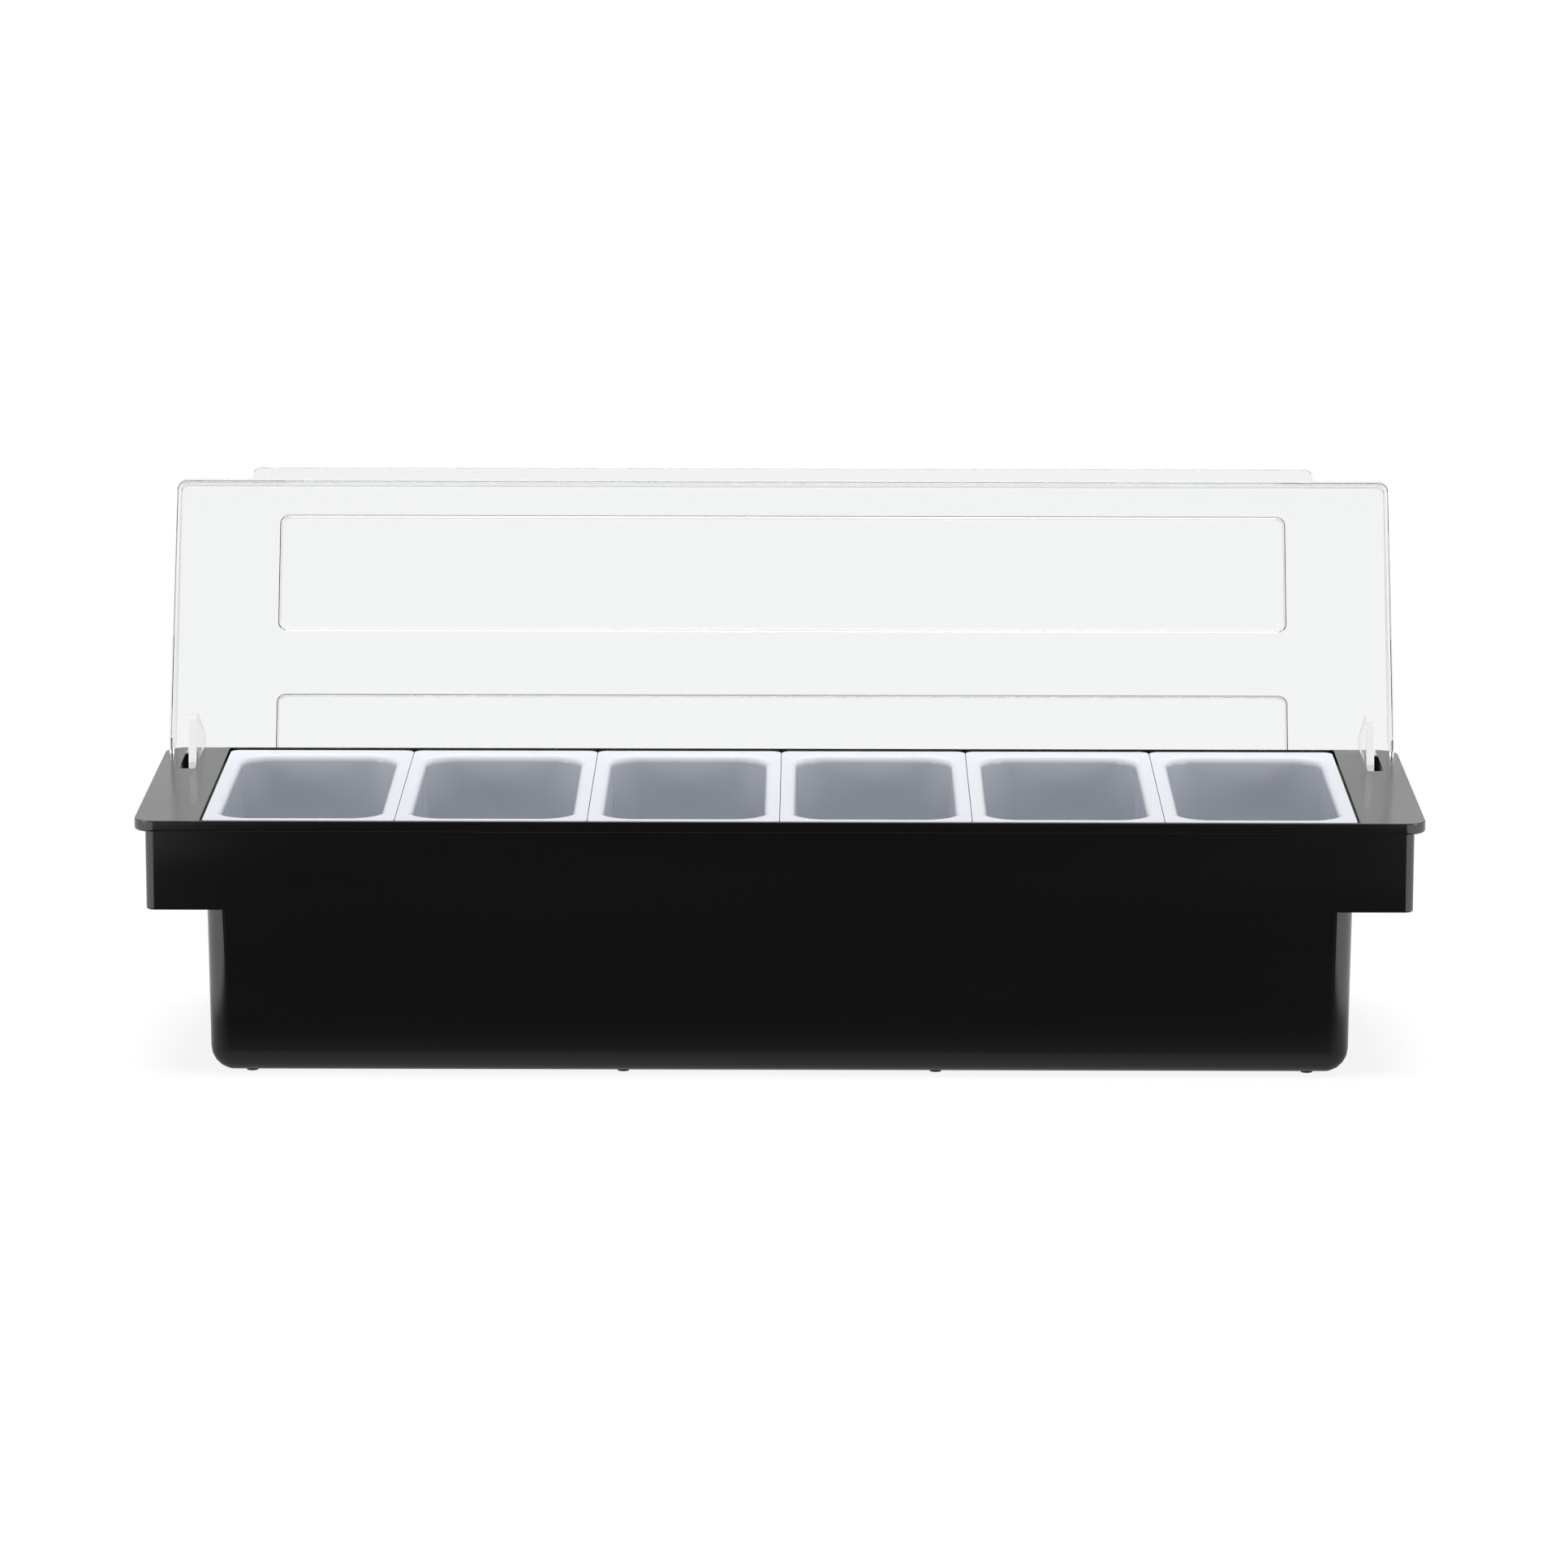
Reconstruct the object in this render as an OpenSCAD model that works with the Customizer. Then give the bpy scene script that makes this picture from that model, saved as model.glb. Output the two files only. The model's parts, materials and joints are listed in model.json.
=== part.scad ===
// Bar condiment caddy: a black tub with a wide flange, six lift-out inserts in one row
// and one clear lid that swings on pegs under the flange's ends.
// Origin: centre of the underside, on the plane of the feet. X along the row, Y to the back, Z up.

/* [Flange] */
// Length of the flange along the row
flange_l = 500; // [470:5:560]
// Depth of the flange from front to back
flange_d = 150; // [140:1:170]
// Thickness of the flange
flange_t = 4.5; // [3.5:0.5:6]
// Corner radius at the front of the flange
flange_r_front = 8; // [3:0.5:10]
// Corner radius at the back of the flange
flange_r_back = 9; // [6:0.5:11]
// Height of the flange's top face above the table
flange_z = 102; // [98:0.2:120]

/* [Tub] */
// Distance from the flange's end to the tub's end
tub_in = 27.1; // [24.5:0.1:30]
// How far the front of the flange stands out past the tub
overhang_front = 3; // [2.5:0.5:4]
// How far the back of the flange stands out past the tub
overhang_back = 11.5; // [11:0.5:13]
// Wall thickness of the tub and its end boxes
wall = 2.5; // [1.5:0.25:3]
// Radius of the tub's upright corners
tub_corner_r = 7.5; // [5:0.5:12]
// Radius round the tub's bottom edge
tub_bottom_r = 9.5; // [6:0.5:12]
// How far each side of the tub draws in towards the bottom
tub_draft = 1; // [0:0.2:3]

/* [End boxes] */
// Height of the end boxes, from the flange's top face down
ear_h = 36; // [32:0.2:45]
// How far the flange's ends stand out past the end boxes
ear_overhang = 4.3; // [3:0.1:8]
// How far the end boxes' front faces lie behind the tub's
ear_step = 1; // [0.5:0.25:2]
// Radius of the end boxes' outer corners
ear_corner_r = 3.4; // [2:0.2:6]

/* [Feet] */
// Height of the feet
foot_h = 0.8; // [0.4:0.1:3]
// Diameter of a small foot
foot_d = 4.6; // [3:0.2:6]
// Diameter of the middle foot
centre_foot_d = 14; // [8:1:30]
// Distance of the outer feet from the flange's ends
foot_in = 44; // [42:1:70]
// Distance of the inner feet from the middle
foot_x_inner = 61; // [30:1:120]

/* [Inserts] */
// Distance from the flange's end to the row of inserts
row_in = 26.5; // [25:0.1:27]
// Gap between neighbouring inserts' lips
lip_gap = 0.4; // [0.2:0.1:0.8]
// Thickness of the inserts' lips
lip_t = 1.8; // [1.2:0.1:2.5]
// Corner radius of the lips at the back
lip_r_back = 4; // [1:0.5:6]
// Corner radius of the lips at the front
lip_r_front = 1.5; // [0.5:0.5:4]
// Width of the lip on each side of a mouth
mouth_side = 6.25; // [6:0.05:9]
// From the flange's front edge to the mouth
mouth_front = 8.5; // [8:0.25:10]
// From the flange's back edge to the mouth
mouth_back = 17; // [16.5:0.25:20]
// Corner radius of the mouth
mouth_r = 13; // [8:0.5:16]
// Height of an insert, lip and all
insert_h = 88; // [60:0.5:92]
// Wall thickness of an insert
insert_wall = 1.5; // [1:0.1:2]
// How far each side of an insert draws in towards the bottom
insert_draft = 2.5; // [1:0.25:4]
// Width of the flange behind the inserts
back_strip = 5; // [4:0.25:7]
// Width of the flange's rim in front of the inserts
rim_front = 1.6; // [1:0.1:2.5]
// Gap round the row of inserts
row_gap = 0.9; // [0.3:0.1:1.1]

/* [Lid] */
// Wall thickness of the lid
lid_t = 1.8; // [1.2:0.1:2.5]
// How far the lid's ends stay inside the flange's ends
lid_inset_x = 0.9; // [0.5:0.1:2]
// How far the lid's front and back stay inside the flange
lid_inset_y = 1.4; // [0.8:0.1:2]
// Gap between the closed lid's skirt and the flange
lid_gap = 0.3; // [0.2:0.1:0.6]
// Inner height of the closed lid at the front
lid_front_h = 3.8; // [3:0.2:6]
// Inner height of the closed lid at the back
lid_back_h = 17.6; // [16:0.2:24]
// Radius of the lid's corners
lid_corner_r = 4; // [2:0.5:6]
// Angle that the lid opens through
open_angle = 119.5; // [100:0.5:122]

/* [Lid panels and tab] */
// Distance of the raised panels from the flange's ends
panel_in = 43.2; // [36:0.2:90]
// Depth of a raised panel
panel_d = 49.2; // [30:0.2:52]
// Distance of the front panel from the lid's front wall
panel_border = 12.1; // [8:0.1:16]
// Distance between the panels
panel_space = 26.6; // [15:0.1:27]
// Corner radius of a panel
panel_r = 3.8; // [2:0.2:10]
// How far a panel is raised
panel_rise = 0.9; // [0.4:0.1:1.2]
// Distance of the finger tab's ends from the flange's ends
tab_in = 31.8; // [15:0.2:190]
// How far the finger tab stands out
tab_d = 5; // [3:0.25:10]
// Corner radius of the finger tab
tab_r = 3.4; // [1:0.2:3]

/* [Hinge] */
// Distance of the pivot from the flange's back edge
pivot_in = 17.6; // [17:0.2:19]
// Distance of the pivot below the flange's top face
pivot_drop = 7.8; // [7.6:0.1:9]
// Radius of the pegs
peg_r = 2.5; // [1.5:0.1:2.8]
// Length of a peg
peg_l = 3.5; // [2:0.25:3.75]
// Radial clearance of the pegs in their lugs
peg_clearance = 0.08; // [0.03:0.01:0.1]
// Thickness of a lug
lug_t = 4; // [3.9:0.1:6]
// Thickness of an arm
arm_t = 3.2; // [2:0.1:3.6]
// Length of an arm, from the lid's inner face down
arm_l = 41; // [36:0.5:43]
// Width of an arm
arm_w = 29.5; // [27:0.5:31]
// Distance from an arm's front edge to the pivot
arm_front = 22.4; // [20:0.2:23.4]
// Radius of an arm's front corner
arm_r_front = 5; // [4.5:0.5:8]
// Radius of an arm's back corner
arm_r_back = 12; // [4:0.5:14]
// Side clearance between an arm and its lug
arm_gap = 0.4; // [0.2:0.1:0.6]
// Distance from the flange's end to a slot's inner side
slot_in = 15; // [14:0.5:16]
// Width of a slot
slot_w = 5.4; // [4.8:0.1:6]
// Length of a slot from the flange's back edge
slot_l = 45; // [44.8:0.1:50]
// Depth of the notch that a slot makes in the back wall
notch_h = 30; // [30:0.5:31]

/* [Hidden] */
$fn = 64;
hull_fn = 32;
tiny = 0.01;
insert_count = 6;

half_l = flange_l / 2;
half_d = flange_d / 2;
tub_x = half_l - tub_in;
tub_y0 = -half_d + overhang_front;
tub_y1 = half_d - overhang_back;
ear_x = half_l - ear_overhang;
ear_y0 = tub_y0 + ear_step;
ear_z = flange_z - ear_h;
ledge_z = flange_z - lip_t;
under_z = flange_z - flange_t;

row_half = half_l - row_in;
insert_pitch = 2 * row_half / insert_count;
half_lip = (insert_pitch - lip_gap) / 2;
half_mouth = insert_pitch / 2 - mouth_side;
insert_z = flange_z - insert_h;
lip_y0 = -half_d + rim_front + row_gap;
lip_y1 = half_d - back_strip - row_gap;
mouth_y0 = -half_d + mouth_front;
mouth_y1 = half_d - mouth_back;

pivot_y = half_d - pivot_in;
pivot_z = flange_z - pivot_drop;
slot_x = half_l - slot_in;
slot_y0 = half_d - slot_l;
arm_x = slot_x + arm_gap;
lug_half = 4.6;

lid_x = half_l - lid_inset_x;
panel_x = half_l - panel_in;
tab_x = half_l - tab_in;
lid_y0 = -half_d + lid_inset_y;
lid_y1 = half_d - lid_inset_y;
lid_slope = atan((lid_back_h - lid_front_h) / (lid_y1 - lid_y0 - 2 * lid_t));
// The skirt keeps this far from the pivot, so that it swings past the flange's back edge.
relief_r = norm([pivot_in, pivot_drop]) + 0.75;
// The back skirt ends where it meets the tub's back wall with the lid open.
stop_gap = 0.3;
skirt_reach = pivot_in - overhang_back + stop_gap;
skirt_back = (lid_y1 - pivot_y) * cos(180 - open_angle);
back_skirt_z = pivot_z + (skirt_reach + skirt_back) / sin(180 - open_angle);

// A rectangle from p to q with one corner radius at the front and one at the back.
module plate_2d(p, q, r_front, r_back) {
    r_most = max(r_front, r_back);
    translate([p[0], p[1] + r_front]) square([q[0] - p[0], q[1] - p[1] - r_front - r_back]);
    translate([p[0] + r_most, p[1]]) square([q[0] - p[0] - 2 * r_most, q[1] - p[1]]);
    for (x = [p[0] + r_front, q[0] - r_front]) {
        translate([x, p[1] + r_front]) circle(r_front);
    }
    for (x = [p[0] + r_back, q[0] - r_back]) {
        translate([x, q[1] - r_back]) circle(r_back);
    }
    translate([p[0] + r_front, p[1]]) square([q[0] - p[0] - 2 * r_front, r_front + tiny]);
    translate([p[0] + r_back, q[1] - r_back - tiny]) square([q[0] - p[0] - 2 * r_back, r_back + tiny]);
}

// The same outline as a slab from z0 to z1.
module slab(p, q, z0, z1, r_front, r_back) {
    translate([0, 0, z0]) linear_extrude(z1 - z0) plate_2d(p, q, r_front, r_back);
}

// A deep pan that draws in by draft towards a bottom edge of radius r.
module pan(p, q, z0, z1, corner_r, bottom_r, draft) {
    hull() {
        for (x = [p[0] + corner_r, q[0] - corner_r], y = [p[1] + corner_r, q[1] - corner_r]) {
            translate([x, y, z1 - tiny]) cylinder(r = corner_r, h = tiny, $fn = hull_fn);
        }
        in = draft + bottom_r;
        for (x = [p[0] + in, q[0] - in], y = [p[1] + in, q[1] - in]) {
            translate([x, y, z0 + bottom_r]) sphere(bottom_r, $fn = hull_fn);
        }
    }
}

// An outline in Y and Z, carried along X from x0 to x1.
module along_x(x0, x1) {
    translate([x0, 0, 0]) rotate([90, 0, 90]) linear_extrude(x1 - x0) children();
}

// ---- base: tub, flange, end boxes, lugs and feet in one moulding ----

module ear_shell() {
    difference() {
        slab([-ear_x, ear_y0], [ear_x, tub_y1], ear_z, under_z + tiny, ear_corner_r, ear_corner_r);
        slab(
            [-ear_x + wall, ear_y0 + wall], [ear_x - wall, tub_y1 - wall], ear_z - 1, under_z,
            ear_corner_r - wall / 2, ear_corner_r - wall / 2
        );
    }
}

module tub_hollow() {
    pan(
        [-tub_x + wall, tub_y0 + wall], [tub_x - wall, tub_y1 - wall],
        foot_h + wall, flange_z + 1, tub_corner_r - wall / 2, tub_bottom_r - wall / 2, tub_draft
    );
}

module lugs() {
    for (side = [-1, 1]) {
        lug_x = side > 0 ? slot_x - lug_t : -slot_x;
        difference() {
            along_x(lug_x, lug_x + lug_t) union() {
                translate([pivot_y - lug_half, pivot_z]) square([2 * lug_half, under_z - pivot_z + tiny]);
                translate([pivot_y, pivot_z]) circle(lug_half);
            }
            along_x(lug_x - 1, lug_x + lug_t + 1) {
                translate([pivot_y, pivot_z]) circle(peg_r + peg_clearance);
            }
        }
    }
}

module slots() {
    for (side = [-1, 1]) {
        x0 = side > 0 ? slot_x : -slot_x - slot_w;
        translate([x0, slot_y0, under_z - 1]) cube([slot_w, slot_l + 1, flange_t + 2]);
        translate([x0, tub_y1 - wall - 1, flange_z - notch_h]) cube([slot_w, wall + 2, notch_h]);
    }
}

module feet() {
    foot_ys = [
        tub_y0 + tub_draft + tub_bottom_r + foot_d / 3,
        tub_y1 - tub_draft - tub_bottom_r - foot_d / 3
    ];
    foot_x_outer = half_l - foot_in;
    for (x = [-foot_x_outer, -foot_x_inner, foot_x_inner, foot_x_outer], y = foot_ys) {
        translate([x, y, 0]) cylinder(d = foot_d, h = foot_h + wall / 2);
    }
    cylinder(d = centre_foot_d, h = foot_h + wall / 2);
}

module base() {
    color("#1b1b1d") {
        difference() {
            union() {
                slab(
                    [-half_l, -half_d], [half_l, half_d], under_z, flange_z,
                    flange_r_front, flange_r_back
                );
                ear_shell();
                pan(
                    [-tub_x, tub_y0], [tub_x, tub_y1], foot_h, under_z + tiny,
                    tub_corner_r, tub_bottom_r, tub_draft
                );
                feet();
            }
            tub_hollow();
            slots();
            // The step that the inserts' lips rest on.
            translate([-row_half - row_gap, -half_d + rim_front, ledge_z]) {
                cube([2 * (row_half + row_gap), flange_d - back_strip - rim_front, lip_t + 1]);
            }
        }
        lugs();
    }
}

// ---- inserts: six alike, lifted straight out ----

module insert(number) {
    x = (number - (insert_count + 1) / 2) * insert_pitch;
    color("#d9dbe0") translate([x, 0, 0]) difference() {
        union() {
            slab([-half_lip, lip_y0], [half_lip, lip_y1], ledge_z, flange_z, lip_r_front, lip_r_back);
            pan(
                [-half_mouth - insert_wall, mouth_y0 - insert_wall],
                [half_mouth + insert_wall, mouth_y1 + insert_wall],
                insert_z, ledge_z + tiny, mouth_r, mouth_r, insert_draft
            );
        }
        pan(
            [-half_mouth, mouth_y0], [half_mouth, mouth_y1],
            insert_z + insert_wall, flange_z + tiny, mouth_r - insert_wall / 2,
            mouth_r - insert_wall / 2, insert_draft
        );
    }
}

// ---- lid: drawn closed, then swung open about its pegs ----

// The lid's section between two X planes, filled, with its roof moved in by t.
module lid_block(t) {
    back_top = lid_back_h + lid_t - t;
    front_top = lid_front_h + lid_t - t;
    intersection() {
        along_x(-lid_x + t, lid_x - t) polygon([
            [lid_y0 + t, flange_z + lid_gap - t],
            [lid_y0 + t, flange_z + front_top],
            [lid_y1 - t, flange_z + back_top],
            [lid_y1 - t, flange_z + lid_gap - t]
        ]);
        slab(
            [-lid_x + t, lid_y0 + t], [lid_x - t, lid_y1 - t], flange_z - lid_t - 1,
            flange_z + lid_back_h + 2 * lid_t + 1, lid_corner_r - t / 2, lid_corner_r - t / 2
        );
    }
}

// Moves its children onto the roof's inner face: Y runs back from the front wall.
module on_roof() {
    translate([0, lid_y0 + lid_t, flange_z + lid_front_h]) rotate([lid_slope, 0, 0]) children();
}

// The raised panels, or the pockets under them, shrunk by t.
module panels(z0, z1, t) {
    for (y = [panel_border, panel_border + panel_d + panel_space]) {
        on_roof() slab(
            [-panel_x + t, y + t], [panel_x - t, y + panel_d - t], z0, z1,
            panel_r - t / 2, panel_r - t / 2
        );
    }
}

// An arm's outline in the roof's frame, with the pivot at the origin.
module arm_2d() {
    roof_rise = (pivot_y - lid_y0 - lid_t) * tan(lid_slope) + lid_front_h + pivot_drop;
    top = roof_rise * cos(lid_slope);
    back = arm_w - arm_front;
    bottom = top - arm_l;
    translate([-arm_front, bottom + arm_r_front]) square([arm_w - arm_r_back, arm_l - arm_r_front]);
    translate([-arm_front, bottom + arm_r_back]) square([arm_w, arm_l - arm_r_back + lid_t / 2]);
    translate([-arm_front + arm_r_front, bottom]) square([arm_w - arm_r_front - arm_r_back, arm_r_front + 1]);
    translate([-arm_front + arm_r_front, bottom + arm_r_front]) circle(arm_r_front);
    translate([back - arm_r_back, bottom + arm_r_back]) circle(arm_r_back);
}

module arms() {
    for (side = [-1, 1]) {
        x0 = side > 0 ? arm_x : -arm_x - arm_t;
        peg_x = side > 0 ? arm_x - peg_l : -arm_x - tiny;
        translate([0, pivot_y, pivot_z]) {
            rotate([lid_slope, 0, 0]) along_x(x0, x0 + arm_t) arm_2d();
            along_x(peg_x, peg_x + peg_l + tiny) circle(peg_r);
        }
    }
}

module lid_closed() {
    difference() {
        union() {
            difference() {
                lid_block(0);
                lid_block(lid_t);
                // Relief round the pivot in the end walls, below the roof.
                along_x(-lid_x - 1, lid_x + 1) translate([pivot_y, pivot_z]) circle(relief_r);
                translate([-lid_x - 1, pivot_y, flange_z - lid_t - 1]) {
                    cube([2 * lid_x + 2, pivot_in + 1, back_skirt_z - flange_z + lid_t + 1]);
                }
            }
            panels(lid_t / 2, lid_t + panel_rise, 0);
            slab(
                [-tab_x, lid_y0 - tab_d], [tab_x, lid_y0 + lid_t / 2], flange_z + lid_gap,
                flange_z + lid_gap + lid_t, tab_r, tiny
            );
            arms();
        }
        panels(-tiny, panel_rise, lid_t / 2);
    }
}

module lid() {
    color([0.93, 0.95, 0.96, 0.35]) {
        translate([0, pivot_y, pivot_z]) rotate([-open_angle, 0, 0]) translate([0, -pivot_y, -pivot_z]) {
            lid_closed();
        }
    }
}

base();
lid();
insert(1);  // insert_1
insert(2);  // insert_2
insert(3);  // insert_3
insert(4);  // insert_4
insert(5);  // insert_5
insert(6);  // insert_6
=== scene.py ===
"""Bar condiment caddy: a black moulded tub, six white lift-out inserts and a clear hinged lid.

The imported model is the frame. Each piece here takes its place and its main sizes from that frame, and
adds what moulded parts have and plain solids don't: rounded edges, rolled mouths, and the plastics.
"""

import json
import math

import bmesh
import bpy
from bpy.props import FloatProperty, PointerProperty, StringProperty
from mathutils import Matrix, Vector


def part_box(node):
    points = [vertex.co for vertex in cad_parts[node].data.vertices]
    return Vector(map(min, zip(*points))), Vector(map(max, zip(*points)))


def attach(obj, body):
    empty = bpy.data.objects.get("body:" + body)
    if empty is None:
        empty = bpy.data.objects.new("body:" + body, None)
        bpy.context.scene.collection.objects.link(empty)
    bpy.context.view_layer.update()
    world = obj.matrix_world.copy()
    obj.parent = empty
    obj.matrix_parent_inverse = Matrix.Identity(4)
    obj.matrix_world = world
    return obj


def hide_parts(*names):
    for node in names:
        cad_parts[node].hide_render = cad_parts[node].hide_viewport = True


bl_info = {
    "name": "Condiment Caddy",
    "version": (1, 0, 0),
    "blender": (4, 5, 0),
    "location": "3D View > Sidebar > Caddy",
    "description": "Builds a bar condiment caddy around its packed frame",
    "category": "Object",
}

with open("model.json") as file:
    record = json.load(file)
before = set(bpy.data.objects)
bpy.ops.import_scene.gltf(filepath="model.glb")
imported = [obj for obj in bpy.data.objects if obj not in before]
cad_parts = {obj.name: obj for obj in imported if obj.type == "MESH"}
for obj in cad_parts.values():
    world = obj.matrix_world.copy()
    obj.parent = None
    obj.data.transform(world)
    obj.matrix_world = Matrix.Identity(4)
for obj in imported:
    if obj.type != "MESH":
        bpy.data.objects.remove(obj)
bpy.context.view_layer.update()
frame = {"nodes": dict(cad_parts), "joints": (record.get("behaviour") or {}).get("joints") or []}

BASE_LOW, BASE_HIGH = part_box("base")
LID_LOW, LID_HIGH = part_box("lid")
INSERTS = sorted(name for name in frame["nodes"] if name.startswith("insert_"))
FIRST_LOW, FIRST_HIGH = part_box(INSERTS[0])
LAST_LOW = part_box(INSERTS[-1])[0]
PITCH = (LAST_LOW.x - FIRST_LOW.x) / (len(INSERTS) - 1)
HINGE = next(joint for joint in frame["joints"] if joint["name"] == "lid_hinge")
PIVOT = Vector(HINGE["pos_m"])
OPEN_ANGLE = math.radians(HINGE["range_deg"][1] - HINGE["range_deg"][0])

TOP = BASE_HIGH.z
HALF_LENGTH = BASE_HIGH.x
FRONT, BACK = BASE_LOW.y, BASE_HIGH.y
MM = 0.001
# Steps in a quarter turn, round a corner seen from above and round an edge.
CORNER_STEPS = 12
ROUND_STEPS = 5
SHARP_ANGLE = math.radians(32)
# How far a cutter runs past what it cuts, and the smallest radius or step that is made.
OVERSHOOT = 1 * MM
POINT_RADIUS = 0.01 * MM


# ---- sizes and colours that a user would change ----


def length(name, description, millimetres):
    """A length property, given in millimetres and kept in metres."""
    return FloatProperty(name=name, description=description, default=millimetres * MM, min=0, unit="LENGTH")


def metres(name, description, value):
    """A place or a large length, given and kept in metres."""
    return FloatProperty(name=name, description=description, default=value, unit="LENGTH")


def angle(name, description, degrees):
    """An angle property, given in degrees and kept in radians."""
    return FloatProperty(name=name, description=description, default=math.radians(degrees), subtype="ANGLE")


def number(name, description, value):
    """A plain number property that isn't below zero."""
    return FloatProperty(name=name, description=description, default=value, min=0)


def colour(name, description, text):
    """An sRGB hex colour property."""
    return StringProperty(name=name, description=description, default=text)


class CaddyBaseSizes(bpy.types.PropertyGroup):
    """Sizes of the black moulding."""

    flange_thickness: length("Flange thickness", "Thickness of the flange round the top", 4.5)
    flange_round: length("Flange edge", "Radius of the flange's top edge", 0.4)
    flange_under: length("Flange lower edge", "Radius of the flange's lower edge", 1)
    front_corner: length("Front corner", "Corner radius at the front of the flange", 8)
    back_corner: length("Back corner", "Corner radius at the back of the flange", 9)
    wall: length("Wall", "Wall thickness of the tub and its end boxes", 2.5)
    tub_inset: length("Tub inset", "Distance from the flange's end to the tub's end", 27.1)
    front_overhang: length("Front overhang", "How far the flange stands out past the tub's front", 3)
    back_overhang: length("Back overhang", "How far the flange stands out past the tub's back", 11.5)
    tub_corner: length("Tub corner", "Radius of the tub's upright corners", 7.5)
    tub_bottom: length("Tub bottom", "Radius round the tub's bottom edge", 9.5)
    tub_draft: length("Tub draft", "How far each side draws in towards the bottom", 1)
    ear_height: length("End box height", "Height of the end boxes, from the flange's top face down", 36)
    ear_overhang: length("End box overhang", "How far the flange stands out past the end boxes", 4.3)
    ear_step: length("End box step", "How far the end boxes lie behind the tub's front", 0.02)
    ear_edge: length("End box edge", "Radius of the end boxes' lower edge", 0.8)
    ear_corner: length("End box corner", "Radius of the end boxes' outer corners", 3.4)
    row_inset: length("Row inset", "Distance from the flange's end to the inserts' step", 25.6)
    front_rim: length("Front rim", "Width of the flange's rim in front of the inserts", 1.6)
    step_round: length("Step edge", "Radius round the upper edge of the inserts' step", 0.4)
    back_strip: length("Back strip", "Width of the flange behind the inserts", 0.9)
    groove_depth: length("Groove depth", "Depth of the groove at each end of the row, below the step", 1.7)
    groove_width: length("Groove width", "Width of that groove", 1.2)
    foot_height: length("Foot height", "Height of the moulded feet", 0.8)
    foot_diameter: length("Foot diameter", "Diameter of a small foot", 4.6)
    centre_foot: length("Middle foot", "Diameter of the middle foot", 14)
    foot_inset: length("Outer feet", "Distance of the outer feet from the flange's ends", 44)
    foot_inner: length("Inner feet", "Distance of the inner feet from the middle", 61)


class CaddyHingeSizes(bpy.types.PropertyGroup):
    """Sizes of the slots, lugs, arms and pegs that the lid swings on."""

    slot_inset: length("Slot inset", "Distance from the flange's end to a slot's inner side", 15)
    slot_width: length("Slot width", "Width of a slot", 6.4)
    slot_length: length("Slot length", "Length of a slot from the flange's back edge", 45)
    notch_height: length("Notch height", "Depth of the back wall's notch that an arm swings through", 30)
    notch_width: length("Notch width", "Width of that notch", 4.1)
    lug_thickness: length("Lug thickness", "Thickness of a lug", 4)
    lug_radius: length("Lug radius", "Outer radius of a lug", 4.6)
    peg_radius: length("Peg radius", "Radius of a peg", 2.5)
    peg_length: length("Peg length", "Length of a peg", 3.5)
    peg_clearance: length("Peg clearance", "Radial clearance of a peg in its lug", 0.08)
    arm_gap: length("Arm gap", "Side clearance between an arm and its lug", 0.4)
    arm_thickness: length("Arm thickness", "Thickness of an arm", 3.2)
    arm_length: length("Arm length", "Length of an arm from the roof down", 41)
    arm_width: length("Arm width", "Width of an arm", 29.5)
    arm_front: length("Arm front", "Distance from an arm's front edge to the pivot", 22.4)
    arm_front_corner: length("Arm front corner", "Radius of an arm's front corner", 5)
    arm_back_corner: length("Arm back corner", "Radius of an arm's back corner", 12)
    arm_edge: length("Arm edge", "Radius round an arm's faces", 0.4)


class CaddyInsertSizes(bpy.types.PropertyGroup):
    """Sizes of one insert."""

    lip_thickness: length("Lip thickness", "Thickness of the lip", 1.8)
    seam: length("Seam", "Width of the seam between two lips", 0.2)
    lip_front_corner: length("Lip front corner", "Corner radius of the lip at the front", 1.5)
    lip_back_corner: length("Lip back corner", "Corner radius of the lip at the back", 4)
    mouth_side: length("Mouth side", "From half the pitch to the mouth's side", 6.25)
    mouth_front: length("Mouth front", "From the flange's front edge to the mouth", 8.5)
    mouth_back: length("Mouth back", "From the flange's back edge to the mouth", 17)
    mouth_corner: length("Mouth corner", "Corner radius of the mouth", 13)
    roll: length("Mouth roll", "Radius of the rolled edge of the mouth", 2.8)
    wall: length("Wall", "Wall thickness of an insert", 1.5)
    draft: length("Draft", "How far each side draws in towards the bottom", 2.5)
    lip_edge: length("Lip edge", "Radius of the lip's edges", 0.2)
    lip_fillet: length("Lip fillet", "Radius between the wall and the lip", 1)


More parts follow.
